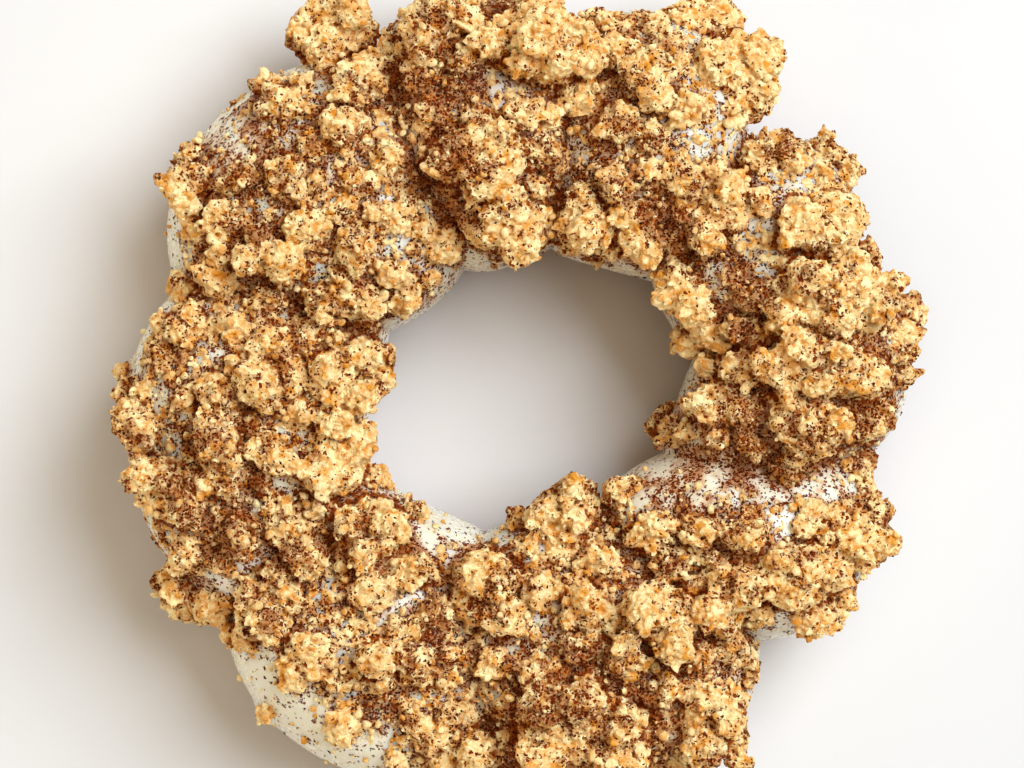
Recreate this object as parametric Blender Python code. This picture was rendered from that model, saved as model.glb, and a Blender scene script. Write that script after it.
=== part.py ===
"""A ring doughnut of nine fused lobes of fried dough, iced over its upper half and heaped
with baked butter crumble.

Units are metres, and +Z is up. The doughnut lies at z = 0 on the flats that frying
leaves under its lobes, and its box is centred on the Z axis. A bearing is an angle
round the ring, in degrees from +X towards +Y.
"""

import math
import random

import bmesh
import bpy
from mathutils import Matrix, Vector, noise
from mathutils.bvhtree import BVHTree

MM = 0.001

# The hole: an oval, measured from dough to dough
HOLE_HALF_LENGTH = 20.0 * MM
HOLE_HALF_WIDTH = 15.4 * MM
HOLE_BEARING = 27.0
HOLE_CENTRE = (0.5 * MM, 0.6 * MM)

# The lobes, in order round the ring. Each row is a lobe's first notch and its crown:
# bearing of the notch, how far the notch leans across the ring (degrees), radius at
# the notch (mm), radius at the crown (mm), height of the crown (mm).
LOBES = (
    (-16.0, 11.0, 39.4, 44.4, 24.0),
    (18.0, 11.0, 41.4, 44.6, 24.5),
    (45.0, 8.0, 39.2, 46.4, 25.0),
    (80.0, 4.0, 42.4, 46.8, 24.5),
    (114.0, 0.0, 41.2, 46.6, 24.5),
    (158.0, 9.0, 40.8, 45.0, 24.0),
    (212.0, 10.0, 41.6, 47.0, 23.5),
    (260.0, 10.0, 42.2, 46.6, 24.0),
    (309.0, 11.0, 38.6, 43.8, 23.5),
)
DOUGH_SECTIONS = 7             # cuts across each lobe
DOUGH_POINTS = 14              # points round each cut

EQUATOR = 11.0 * MM            # height where the ring is widest
NOTCH_POWER = 2.4              # how late along a lobe its notch begins
INNER_NOTCH = 1.5 * MM         # the notches' depth on the side of the hole
TOP_NOTCH = 4.0 * MM           # and on the top
FOOT_SINK = 1.2 * MM           # how far the round underside is flattened
FOOT_NOTCH = 3.4 * MM          # how far a notch lifts the underside
SQUARENESS = 2.3               # a section's superellipse: 2 is an ellipse

# The icing, and the gap that keeps it off the dough
GAP = 0.3 * MM
ICING = 1.1 * MM
ICING_SECTIONS = 7             # cuts across each lobe
ICING_POINTS = 11              # points over the icing, from rim to rim
OUTER_RIM = 8.4 * MM           # heights of its two rims
INNER_RIM = 9.2 * MM
RIM_WAVE = 1.2 * MM            # how far the rims wander up and down
RIM_WAVES = ((5, 1.0), (11, 0.6))  # waves round the ring, and the share of each
OUTER_RIM_START = 0.4          # where round the ring each rim's waves start (radians)
INNER_RIM_START = 2.0
BARE_BEARING = 40.0            # where the outer rim stops short, and dough shows
BARE_SPREAD = 5.0              # over how many degrees
BARE_LIFT = 8.5 * MM           # and how much higher it is there

# Drips that stand out of the icing's outer flank: bearing (degrees), radius (mm)
DRIPS = (
    (176.6, 45.9),
    (231.4, 46.6),
)
DRIP_LENGTH = 4.4 * MM
DRIP_WIDTH = 2.8 * MM

# The largest clumps of crumble: x, y, length, width (mm), turn (degrees)
CLUMPS = (
    (-37.8, 24.0, 7.6, 5.4, 85),
    (-19.8, 31.2, 6.4, 5.4, 20),
    (-26.5, 26.0, 5.8, 4.2, 10),
    (-28.8, 16.2, 7.0, 5.6, 20),
    (-20.4, 11.0, 9.6, 6.2, 0),
    (-44.0, -4.2, 6.6, 5.6, 85),
    (-40.6, -10.8, 10.0, 6.4, -40),
    (-38.8, -22.4, 9.6, 7.4, 95),
    (-30.0, 1.8, 6.0, 5.0, 20),
    (-34.7, -5.2, 7.6, 4.8, 90),
    (-32.0, -16.2, 6.0, 5.4, 0),
    (-25.0, -17.2, 6.6, 6.0, 40),
    (-30.0, -25.6, 6.4, 6.0, 70),
    (-20.4, 1.6, 10.4, 8.4, 10),
    (-20.9, -7.0, 9.2, 8.0, 60),
    (-16.9, -15.4, 8.6, 7.4, 50),
    (-25.8, -31.4, 6.2, 4.2, 90),
    (-16.2, -29.8, 6.6, 5.0, 20),
    (-20.3, -37.8, 6.8, 4.8, 75),
    (-4.7, -22.0, 8.8, 7.8, 60),
    (-7.0, -41.0, 10.0, 7.6, 0),
    (4.9, -14.0, 10.4, 9.0, 40),
    (7.8, -24.6, 6.6, 5.4, 0),
    (15.7, -25.1, 11.2, 7.0, -5),
    (23.4, -23.6, 10.0, 6.0, 80),
    (6.2, -37.6, 14.4, 11.0, -15),
    (22.2, -37.2, 11.0, 9.2, 80),
    (11.8, -30.2, 6.0, 5.4, 0),
    (22.7, -0.8, 7.6, 5.2, 0),
    (32.4, -3.6, 9.4, 7.0, -40),
    (17.4, -2.8, 6.6, 5.0, 45),
    (40.2, -11.4, 3.8, 3.6, 0),
    (38.6, -16.4, 10.4, 8.0, -10),
    (43.4, -17.4, 4.4, 3.8, 0),
    (31.8, -20.2, 9.6, 7.8, 10),
    (35.2, -25.4, 6.2, 5.0, 20),
    (29.4, 28.2, 6.2, 5.4, 60),
    (37.6, 25.8, 6.6, 5.4, 60),
    (22.4, 21.6, 8.6, 7.2, 20),
    (35.4, 19.6, 10.4, 8.0, 30),
    (35.6, 10.6, 15.4, 10.6, 10),
    (34.6, 2.8, 13.6, 7.6, -5),
    (45.4, 9.2, 6.8, 5.0, 85),
    (27.0, 7.4, 6.6, 6.0, 60),
    (14.0, 17.6, 6.6, 6.0, 0),
    (18.6, 12.8, 7.4, 5.2, -50),
    (22.4, 43.4, 8.4, 7.6, 10),
    (25.2, 36.4, 10.8, 8.6, 95),
    (14.2, 36.6, 7.4, 5.8, 10),
    (2.9, 40.2, 14.4, 10.4, -10),
    (11.6, 31.2, 6.0, 5.2, 110),
    (-3.5, 26.8, 9.4, 8.0, 80),
    (-1.6, 19.8, 10.4, 6.8, 0),
    (7.6, 19.8, 7.8, 7.0, 70),
    (-21.6, 42.0, 11.6, 9.6, 0),
    (-17.0, 36.6, 8.8, 7.2, 20),
    (-9.2, 42.8, 10.4, 8.8, 20),
    (-28.2, 39.0, 4.0, 3.4, 0),
)
CLUMP_HEIGHT = 0.76            # height as a share of the mean of length and width
CLUMP_BURIED = 0.24            # how far a clump's middle is lifted, as a share of height
CLUMP_CRAGS = 0.5              # how rough its faces are
FINE_CLUMP = 7.3               # longer clumps (mm) get 80 faces, the others 20

# Stretches of icing with no crumble on them: x, y, length, width (mm), turn (degrees)
BARE_PATCHES = (
    (-26.4, -36.8, 26.0, 7.6, -42),
    (-32.4, 30.4, 11.0, 8.0, 38),
    (-31.2, 22.0, 6.0, 5.0, 0),
    (-40.0, 17.0, 12.0, 3.4, 80),
    (-43.6, 8.6, 9.0, 3.4, 65),
    (27.4, -9.8, 27.0, 5.4, -8),
    (42.8, -3.8, 12.0, 5.4, 78),
    (-6.4, 11.6, 9.0, 6.0, -40),
    (-8.1, -15.8, 13.0, 4.6, -8),
    (15.6, 7.4, 18.0, 5.0, 122),
    (28.4, -27.4, 8.0, 5.4, 30),
    (7.4, 26.0, 8.0, 3.6, 0),
    (23.8, 29.8, 9.0, 4.4, 0),
    (-11.6, 29.6, 24.0, 2.8, -68),
    (15.4, -38.6, 8.0, 3.6, 80),
    (-36.4, -17.4, 7.0, 3.0, 90),
)

# Smaller crumbs between and on the clumps
CRUMBS = 270
CRUMB_LARGEST = 6.0 * MM       # widths
CRUMB_SMALLEST = 2.8 * MM
CRUMB_LONGEST = 1.35           # length of the longest, as a share of its width
CRUMB_OVERLAP = 0.40           # how near two crumbs lie, as a share of their widths
CRUMB_CRAGS = 0.6
CRUMB_BURIED = 0.1             # how far its middle is lifted, as a share of its width
CRUMB_LOWEST = 14.0 * MM       # they lie on what is above this height
CRUMB_TRIES = 40000
CRUMB_SEED = 11

HEAP_FACES = 9800              # triangles kept on the icing and its crumble
COARSE_BALL = 1                # levels of a ball of 20 triangles
FINE_BALL = 2                  # and of one of 80
CRAG_PITCH = 1.6               # how closely the crags of a lump follow each other
SHARP_EDGE = math.radians(50)  # edges that show, between crumbs

# Colours (linear) and roughness
DOUGH_COLOUR = (0.62, 0.31, 0.09)
DOUGH_ROUGHNESS = 0.6
CRUMBLE_COLOUR = (0.72, 0.48, 0.22)
CRUMBLE_ROUGHNESS = 0.7

ABOVE = 0.1                    # a height clear of everything, to look down from
UP = Vector((0, 0, 1))


def across(value, power):
    """A superellipse's coordinate for a cosine or a sine."""
    return math.copysign(abs(value) ** power, value)


def hole_radius(bearing):
    """The hole's radius at a bearing, from the oval and the shift of its centre."""
    turn = math.radians(bearing - HOLE_BEARING)
    long_share = math.cos(turn) / HOLE_HALF_LENGTH
    wide_share = math.sin(turn) / HOLE_HALF_WIDTH
    here = math.radians(bearing)
    shift = HOLE_CENTRE[0] * math.cos(here) + HOLE_CENTRE[1] * math.sin(here)
    return 1 / math.hypot(long_share, wide_share) + shift


class Section:
    """One upright cut across the ring, with the sizes that its outline follows."""

    def __init__(self, lobe, share, grow):
        start = LOBES[lobe]
        end = LOBES[(lobe + 1) % len(LOBES)]
        span = (end[0] - start[0]) % 360
        notch = abs(2 * share - 1) ** NOTCH_POWER
        near = start if share < 0.5 else end
        self.bearing = start[0] + span * share
        self.lean = start[1] + (end[1] - start[1]) * share
        crown_radius = start[3] * MM
        self.outer = crown_radius - (crown_radius - near[2] * MM) * notch + grow
        self.inner = hole_radius(self.bearing) + INNER_NOTCH * notch - grow
        self.rise = start[4] * MM - TOP_NOTCH * notch - EQUATOR + grow
        self.drop = EQUATOR + FOOT_SINK - FOOT_NOTCH * notch + grow
        self.floor = -grow

    def point(self, turn):
        """The outline at an angle from the outer side over the top."""
        power = 2 / SQUARENESS
        share = (across(math.cos(turn), power) + 1) / 2
        height = across(math.sin(turn), power)
        height *= self.rise if height > 0 else self.drop
        radius = self.inner + (self.outer - self.inner) * share
        bearing = math.radians(self.bearing + self.lean * (share - 0.5))
        level = max(EQUATOR + height, self.floor)
        return Vector((radius * math.cos(bearing), radius * math.sin(bearing), level))

    def turn_at(self, level):
        """The angle on the outer side where the outline passes a height."""
        height = level - EQUATOR
        reach = self.rise if height > 0 else self.drop
        share = min(abs(height) / reach, 1.0) ** (SQUARENESS / 2)
        return math.copysign(math.asin(share), height)


def sections(a_lobe, grow):
    """All the cuts round the ring, with the skin pushed out by grow."""
    lobes = range(len(LOBES))
    return [Section(lobe, step / a_lobe, grow) for lobe in lobes for step in range(a_lobe)]


def ring_mesh(name, rings):
    """A closed ring from outlines of one length, one for each cut."""
    shape = bmesh.new()
    loops = [[shape.verts.new(place) for place in ring] for ring in rings]
    for here, there in zip(loops, loops[1:] + loops[:1]):
        for first in range(len(here)):
            second = (first + 1) % len(here)
            shape.faces.new((here[first], there[first], there[second]))
            shape.faces.new((here[first], there[second], here[second]))
    bmesh.ops.recalc_face_normals(shape, faces=shape.faces)
    mesh = bpy.data.meshes.new(name)
    shape.to_mesh(mesh)
    shape.free()
    return mesh


def ring_body(name, grow):
    """The whole ring of dough, with its skin pushed out by grow."""
    turns = [2 * math.pi * step / DOUGH_POINTS for step in range(DOUGH_POINTS)]
    rings = [[cut.point(turn) for turn in turns] for cut in sections(DOUGH_SECTIONS, grow)]
    return bpy.data.objects.new(name, ring_mesh(name, rings))


def rim_level(rim, bearing, start):
    """The height of a rim of the icing, which runs down further in places."""
    here = math.radians(bearing)
    waves = [share * math.sin(count * here + count * start) for count, share in RIM_WAVES]
    return rim + RIM_WAVE * sum(waves)


def is_bare(x, y):
    """Whether a point lies in one of the stretches with no crumble."""
    for patch_x, patch_y, length, width, turn in BARE_PATCHES:
        here = math.radians(turn)
        east = x - patch_x * MM
        north = y - patch_y * MM
        along = east * math.cos(here) + north * math.sin(here)
        beside = north * math.cos(here) - east * math.sin(here)
        if math.hypot(2 * along / (length * MM), 2 * beside / (width * MM)) < 1:
            return True
    return False


def icing_body(name):
    """The icing with the dough under it still solid, from rim to rim over the top."""
    rings = []
    for cut in sections(ICING_SECTIONS, GAP + ICING):
        away = (cut.bearing - BARE_BEARING) / BARE_SPREAD
        bare = BARE_LIFT * math.exp(-away * away)
        outer_rim = rim_level(OUTER_RIM, cut.bearing, OUTER_RIM_START) + bare
        inner_rim = rim_level(INNER_RIM, cut.bearing, INNER_RIM_START)
        first = cut.turn_at(outer_rim)
        last = math.pi - cut.turn_at(inner_rim)
        steps = range(ICING_POINTS)
        turns = [first + (last - first) * step / (ICING_POINTS - 1) for step in steps]
        rings.append([cut.point(turn) for turn in turns])
    return bpy.data.objects.new(name, ring_mesh(name, rings))


def lump_mesh(name, length, width, height, levels, crags, key):
    """A craggy lump: a ball of triangles pushed in and out by noise."""
    shape = bmesh.new()
    bmesh.ops.create_icosphere(shape, subdivisions=levels, radius=1)
    size = Vector((length, width, height)) / 2
    for corner in shape.verts:
        rough = noise.noise(corner.co * CRAG_PITCH + Vector((key, 2 * key, -key)))
        corner.co = corner.co * size * (1 + crags * rough)
    mesh = bpy.data.meshes.new(name)
    shape.to_mesh(mesh)
    shape.free()
    return mesh


def surface_of(objects):
    """A search tree over the outside of some objects, for setting crumbs on them."""
    corners = []
    faces = []
    for item in objects:
        first = len(corners)
        corners += [item.matrix_world @ corner.co for corner in item.data.vertices]
        faces += [[first + index for index in face.vertices] for face in item.data.polygons]
    return BVHTree.FromPolygons(corners, faces)


def seat(surface, x, y):
    """The place under (x, y), or past the outline the flank's level, and the normal."""
    place, normal, _, _ = surface.ray_cast(Vector((x, y, ABOVE)), -UP)
    if place is None:
        near, normal, _, _ = surface.find_nearest(Vector((x, y, EQUATOR)))
        place = Vector((x, y, near.z))
    return place, normal


def set_lump(mesh, place, normal, turn, lift):
    """A lump set on a surface, leaning half way towards the surface's normal."""
    lump = bpy.data.objects.new(mesh.name, mesh)
    lean = UP.rotation_difference((normal + UP).normalized())
    rotation = lean.to_matrix().to_4x4() @ Matrix.Rotation(turn, 4, "Z")
    lump.matrix_world = Matrix.Translation(place + lift * UP) @ rotation
    return lump


def clump_lumps(surface):
    """The largest clumps, each in its own place."""
    lumps = []
    for key, (x, y, length, width, turn) in enumerate(CLUMPS):
        height = CLUMP_HEIGHT * (length + width) / 2
        sizes = (length * MM, width * MM, height * MM)
        levels = FINE_BALL if length > FINE_CLUMP else COARSE_BALL
        mesh = lump_mesh("clump", *sizes, levels, CLUMP_CRAGS, key)
        place, normal = seat(surface, x * MM, y * MM)
        lift = CLUMP_BURIED * height * MM
        lumps.append(set_lump(mesh, place, normal, math.radians(turn), lift))
    return lumps


def drip_lumps(surface):
    """Beads of icing that stand out of the flank."""
    lumps = []
    for key, (bearing, radius) in enumerate(DRIPS):
        here = math.radians(bearing)
        mesh = lump_mesh("drip", DRIP_LENGTH, DRIP_WIDTH, DRIP_LENGTH, COARSE_BALL, 0, key)
        flank = Vector((math.cos(here), math.sin(here), 0)) * radius * MM
        place, normal = seat(surface, flank.x, flank.y)
        lumps.append(set_lump(mesh, place, normal, here, 0))
    return lumps


def crumb_lumps(surface):
    """Smaller crumbs, the largest first, spread over the top and the clumps."""
    draw = random.Random(CRUMB_SEED)
    reach = max(lobe[3] for lobe in LOBES) * MM
    lumps = []
    placed = []
    for key in range(CRUMB_TRIES):
        size = CRUMB_LARGEST + (CRUMB_SMALLEST - CRUMB_LARGEST) * len(lumps) / CRUMBS
        x = draw.uniform(-reach, reach)
        y = draw.uniform(-reach, reach)
        place, normal, _, _ = surface.ray_cast(Vector((x, y, ABOVE)), -UP)
        if place is None or place.z < CRUMB_LOWEST or is_bare(x, y):
            continue
        nearness = [(place - other).length / (size + width) for other, width in placed]
        if nearness and min(nearness) < CRUMB_OVERLAP:
            continue
        placed.append((place, size))
        length = size * draw.uniform(1, CRUMB_LONGEST)
        mesh = lump_mesh("crumb", length, size, size, COARSE_BALL, CRUMB_CRAGS, key)
        turn = draw.uniform(0, 2 * math.pi)
        lumps.append(set_lump(mesh, place, normal, turn, CRUMB_BURIED * size))
        if len(lumps) == CRUMBS:
            break
    return lumps


def keep_result(body):
    """Make what an object's modifiers give its own mesh."""
    bpy.context.view_layer.update()
    result = body.evaluated_get(bpy.context.evaluated_depsgraph_get())
    mesh = bpy.data.meshes.new_from_object(result)
    body.modifiers.clear()
    body.data = mesh


def apply_boolean(body, operation, collection=None, cutter=None):
    """Join a collection to a body, or cut a cutter from it, and keep the result."""
    change = body.modifiers.new("change", "BOOLEAN")
    change.solver = "EXACT"
    change.operation = operation
    if collection is not None:
        change.operand_type = "COLLECTION"
        change.collection = collection
    else:
        change.object = cutter
    keep_result(body)


def part_shared_diagonals(shape):
    """Where two flat faces were cut along one line, give one of them a corner on it."""
    for edge in [edge for edge in shape.edges if len(edge.link_faces) > 2]:
        first = edge.link_faces[0]
        twin = max(edge.link_faces[1:], key=lambda face: face.normal.dot(first.normal))
        middle = shape.verts.new((edge.verts[0].co + edge.verts[1].co) / 2)
        for face in (first, twin):
            for loop in face.loops:
                if loop.edge != edge:
                    shape.faces.new((loop.vert, loop.link_loop_next.vert, middle))
        bmesh.ops.delete(shape, geom=[first, twin], context="FACES_ONLY")


def thin_out(body, faces):
    """Merge the slivers that joining left, down to a number of triangles."""
    shape = bmesh.new()
    shape.from_mesh(body.data)
    bmesh.ops.triangulate(shape, faces=shape.faces)
    part_shared_diagonals(shape)
    before = len(shape.faces)
    shape.to_mesh(body.data)
    shape.free()
    merge = body.modifiers.new("merge", "DECIMATE")
    merge.ratio = faces / before
    keep_result(body)


def keep_main_shell(mesh):
    """Drop loose scraps and the walls of sealed hollows, which fills them."""
    shape = bmesh.new()
    shape.from_mesh(mesh)
    left = set(shape.verts)
    shells = []
    while left:
        shell = {left.pop()}
        front = list(shell)
        while front:
            corner = front.pop()
            for edge in corner.link_edges:
                other = edge.other_vert(corner)
                if other in left:
                    left.remove(other)
                    shell.add(other)
                    front.append(other)
        shells.append(shell)
    main = max(shells, key=len)
    scraps = [corner for corner in shape.verts if corner not in main]
    bmesh.ops.delete(shape, geom=scraps, context="VERTS")
    shape.to_mesh(mesh)
    shape.free()


def material(name, colour, roughness):
    """A surface with one colour and roughness and no metal."""
    surface = bpy.data.materials.new(name)
    surface.use_nodes = True
    shader = surface.node_tree.nodes["Principled BSDF"]
    shader.inputs["Base Color"].default_value = (*colour, 1.0)
    shader.inputs["Roughness"].default_value = roughness
    shader.inputs["Metallic"].default_value = 0.0
    return surface


def finish(item, surface):
    """Give an object its material and smooth shading, and put it in the scene."""
    item.data.materials.clear()
    item.data.materials.append(surface)
    item.data.shade_smooth()
    item.data.set_sharp_from_angle(angle=SHARP_EDGE)
    if item.name not in bpy.context.scene.collection.objects:
        bpy.context.scene.collection.objects.link(item)


def make_dough():
    """The fried dough: one ring with flats under its lobes."""
    dough = ring_body("dough_ring", 0)
    finish(dough, material("fried_dough", DOUGH_COLOUR, DOUGH_ROUGHNESS))
    return dough


def make_icing_and_crumble():
    """The icing with its drips, clumps and crumbs fused on, hollowed for the dough."""
    icing = icing_body("icing_crumble")
    bpy.context.scene.collection.objects.link(icing)
    lumps = clump_lumps(surface_of([icing]))
    bpy.context.view_layer.update()
    lumps += crumb_lumps(surface_of([icing] + lumps))
    lumps += drip_lumps(surface_of([icing]))
    heap = bpy.data.collections.new("heap")
    bpy.context.scene.collection.children.link(heap)
    for lump in lumps:
        heap.objects.link(lump)
    core = ring_body("core_cutter", GAP)
    core.hide_render = True
    core.display_type = "WIRE"
    bpy.context.scene.collection.objects.link(core)
    apply_boolean(icing, "UNION", collection=heap)
    keep_main_shell(icing.data)
    thin_out(icing, HEAP_FACES)
    apply_boolean(icing, "DIFFERENCE", cutter=core)
    keep_main_shell(icing.data)
    for lump in lumps:
        bpy.data.objects.remove(lump)
    bpy.data.objects.remove(core)
    bpy.data.collections.remove(heap)
    finish(icing, material("iced_crumble", CRUMBLE_COLOUR, CRUMBLE_ROUGHNESS))
    return icing


def centre(items):
    """Shift the finished pieces so that their box is centred on the Z axis."""
    corners = [corner.co for item in items for corner in item.data.vertices]
    shift_x = -(min(c.x for c in corners) + max(c.x for c in corners)) / 2
    shift_y = -(min(c.y for c in corners) + max(c.y for c in corners)) / 2
    for item in items:
        item.data.transform(Matrix.Translation((shift_x, shift_y, 0)))


for old in list(bpy.data.objects):
    bpy.data.objects.remove(old)

centre([make_dough(), make_icing_and_crumble()])
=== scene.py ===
import itertools
import math

import bmesh
import bpy
import numpy as np
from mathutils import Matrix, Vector
from mathutils.bvhtree import BVHTree
from mathutils.kdtree import KDTree


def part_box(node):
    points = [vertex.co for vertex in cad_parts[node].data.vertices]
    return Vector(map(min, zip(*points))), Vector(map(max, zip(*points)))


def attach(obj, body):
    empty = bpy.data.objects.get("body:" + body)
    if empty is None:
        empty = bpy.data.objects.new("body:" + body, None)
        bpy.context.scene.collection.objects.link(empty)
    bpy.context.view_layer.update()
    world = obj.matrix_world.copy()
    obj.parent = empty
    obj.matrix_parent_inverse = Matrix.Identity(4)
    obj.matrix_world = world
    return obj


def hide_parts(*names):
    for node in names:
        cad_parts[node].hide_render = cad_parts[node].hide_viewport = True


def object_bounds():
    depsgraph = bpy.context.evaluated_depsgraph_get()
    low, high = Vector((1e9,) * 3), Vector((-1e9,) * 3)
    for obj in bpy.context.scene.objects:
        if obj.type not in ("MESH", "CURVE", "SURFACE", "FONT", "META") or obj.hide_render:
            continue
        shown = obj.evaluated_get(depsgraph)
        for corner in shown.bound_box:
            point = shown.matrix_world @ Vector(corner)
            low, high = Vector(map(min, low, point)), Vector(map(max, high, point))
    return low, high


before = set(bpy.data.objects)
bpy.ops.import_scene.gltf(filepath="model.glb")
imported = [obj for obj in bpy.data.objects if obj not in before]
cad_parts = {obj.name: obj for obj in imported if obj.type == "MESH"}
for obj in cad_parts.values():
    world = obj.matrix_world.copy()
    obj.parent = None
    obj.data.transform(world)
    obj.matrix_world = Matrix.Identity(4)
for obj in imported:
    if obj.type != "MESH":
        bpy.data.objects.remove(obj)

cad_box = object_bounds()


# The ring of dough. Yeast dough shaped by hand into nine fused lobes and fried in oil, so
# that it is browned all over but for the paler band that lay at the oil's surface. It is
# modelled as upright cuts in a row round the ring, with the skin wrinkled inwards.

MM = 0.001

# The hole: an oval, measured from dough to dough
HOLE_HALF_LENGTH = 20.0 * MM
HOLE_HALF_WIDTH = 15.4 * MM
HOLE_BEARING = 27.0
HOLE_CENTRE = (0.5 * MM, 0.6 * MM)

# The lobes: bearing of the first notch, how far it leans across the ring (degrees),
# radius at the notch, radius at the crown, height of the crown (mm)
LOBES = np.array((
    (-16.0, 11.0, 39.4, 44.4, 24.0),
    (18.0, 11.0, 41.4, 44.6, 24.5),
    (45.0, 8.0, 39.2, 46.4, 25.0),
    (80.0, 4.0, 42.4, 46.8, 24.5),
    (114.0, 0.0, 41.2, 46.6, 24.5),
    (158.0, 9.0, 40.8, 45.0, 24.0),
    (212.0, 10.0, 41.6, 47.0, 23.5),
    (260.0, 10.0, 42.2, 46.6, 24.0),
    (309.0, 11.0, 38.6, 43.8, 23.5),
))
EQUATOR = 11.0 * MM            # height where the ring is widest
NOTCH_POWER = 2.4              # how late along a lobe its notch begins
INNER_NOTCH = 1.5 * MM         # the notches' depth on the side of the hole
TOP_NOTCH = 4.0 * MM           # and on the top
FOOT_SINK = 1.2 * MM           # how far the round underside is flattened
FOOT_NOTCH = 3.4 * MM          # how far a notch lifts the underside
SQUARENESS = 2.3               # a section's superellipse: 2 is an ellipse

DOUGH_CUTS = 26                # cuts across each lobe
DOUGH_POINTS = 56              # points round each cut
CAD_CUTS = 7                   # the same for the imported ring, which sets the place
CAD_POINTS = 14
WRINKLES = ((0.16 * MM, 2.6 * MM), (0.07 * MM, 0.9 * MM))  # depth and pitch
WRINKLE_KEY = 3                # which of the noise's patterns they follow
# Large odd numbers that mix the bits of a cell's place, so that each cell has its own level
CELL_MIX = (73856093, 19349663, 83492791)
KEY_MIX = 2654435761
BIT_MIX = 2246822519
LOW_32_BITS = 0xFFFFFFFF
LEVELS = 0xFFFF                # the levels, which are spread from -1 to 1


def across(value, power):
    """A superellipse's coordinate for a cosine or a sine."""
    return np.copysign(np.abs(value) ** power, value)


def cut_sizes(around, grow):
    """The sizes of the cuts at places counted in lobes round the ring, skin pushed out."""
    lobe = np.floor(around).astype(int) % len(LOBES)
    share = around % 1
    start, end = LOBES[lobe], LOBES[(lobe + 1) % len(LOBES)]
    bearing = start[..., 0] + (end[..., 0] - start[..., 0]) % 360 * share
    notch = np.abs(2 * share - 1) ** NOTCH_POWER
    near = np.where(share < 0.5, start[..., 2], end[..., 2]) * MM
    crown = start[..., 3] * MM
    here = np.radians(bearing)
    turn = np.radians(bearing - HOLE_BEARING)
    hole = 1 / np.hypot(np.cos(turn) / HOLE_HALF_LENGTH, np.sin(turn) / HOLE_HALF_WIDTH)
    hole = hole + HOLE_CENTRE[0] * np.cos(here) + HOLE_CENTRE[1] * np.sin(here)
    return {
        "bearing": bearing,
        "lean": start[..., 1] + (end[..., 1] - start[..., 1]) * share,
        "outer": crown - (crown - near) * notch + grow,
        "inner": hole + INNER_NOTCH * notch - grow,
        "rise": start[..., 4] * MM - TOP_NOTCH * notch - EQUATOR + grow,
        "drop": EQUATOR + FOOT_SINK - FOOT_NOTCH * notch + grow,
    }


def ring_points(around, turn, grow):
    """Points on the ring's skin, at an angle from the outer side over the top."""
    cut = cut_sizes(around, grow)
    power = 2 / SQUARENESS
    share = (across(np.cos(turn), power) + 1) / 2
    height = across(np.sin(turn), power)
    height = height * np.where(height > 0, cut["rise"], cut["drop"])
    radius = cut["inner"] + (cut["outer"] - cut["inner"]) * share
    bearing = np.radians(cut["bearing"] + cut["lean"] * (share - 0.5))
    level = np.maximum(EQUATOR + height, 0)
    return np.stack((radius * np.cos(bearing), radius * np.sin(bearing), level), axis=-1)


def lattice_noise(points, pitch, key):
    """Smooth noise from -1 to 1, with its hills and hollows about a pitch apart."""
    cell = np.floor(points / pitch)
    ease = points / pitch - cell
    ease = ease * ease * (3 - 2 * ease)
    cell = cell.astype(np.int64)
    total = np.zeros(points.shape[:-1])
    for corner in itertools.product((0, 1), repeat=3):
        at = cell + np.array(corner)
        mixed = at[..., 0] * CELL_MIX[0] ^ at[..., 1] * CELL_MIX[1] ^ at[..., 2] * CELL_MIX[2]
        mixed = (mixed ^ key * KEY_MIX) & LOW_32_BITS
        mixed = (mixed ^ mixed >> 15) * BIT_MIX & LOW_32_BITS
        mixed = mixed ^ mixed >> 13
        weight = np.where(np.array(corner), ease, 1 - ease).prod(axis=-1)
        total += weight * ((mixed & LEVELS) / (LEVELS / 2) - 1)
    return total


def make_piece(name, points, faces):
    """An object from an array of points and one of faces, all with as many corners."""
    mesh = bpy.data.meshes.new(name)
    sides = faces.shape[1]
    mesh.vertices.add(len(points))
    mesh.vertices.foreach_set("co", points.astype(np.float32).ravel())
    mesh.loops.add(faces.size)
    mesh.loops.foreach_set("vertex_index", faces.astype(np.int32).ravel())
    mesh.polygons.add(len(faces))
    mesh.polygons.foreach_set("loop_start", np.arange(0, faces.size, sides, dtype=np.int32))
    mesh.update(calc_edges=True)
    mesh.shade_smooth()
    piece = bpy.data.objects.new(name, mesh)
    bpy.context.scene.collection.objects.link(piece)
    return piece


def grid_faces(rows, columns):
    """Four-sided faces, facing out, over a grid of points that closes on itself both ways."""
    row, column = np.meshgrid(np.arange(rows), np.arange(columns), indexing="ij")
    here, there = row * columns, (row + 1) % rows * columns
    after = (column + 1) % columns
    return np.stack((here + column, there + column, there + after, here + after), -1).reshape(-1, 4)


cad_around = np.arange(len(LOBES) * CAD_CUTS)[:, None] / CAD_CUTS
cad_turns = 2 * np.pi * np.arange(CAD_POINTS) / CAD_POINTS
cad_ring = ring_points(cad_around, cad_turns, 0).reshape(-1, 3)
ring_low, ring_high = (np.array(corner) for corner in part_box("dough_ring"))
SHIFT = (ring_low + ring_high) / 2 - (cad_ring.min(axis=0) + cad_ring.max(axis=0)) / 2
SHIFT[2] = 0.0

around = np.arange(len(LOBES) * DOUGH_CUTS)[:, None] / DOUGH_CUTS
turns = 2 * np.pi * np.arange(DOUGH_POINTS) / DOUGH_POINTS
skin = ring_points(around, turns, 0)
depth = sum(
    deep * (1 + lattice_noise(skin, pitch, WRINKLE_KEY)) / 2 for deep, pitch in WRINKLES
)
skin = ring_points(around, turns, -depth) + SHIFT
dough = make_piece("fried_dough_ring", skin.reshape(-1, 3), grid_faces(*skin.shape[:2]))


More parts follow.
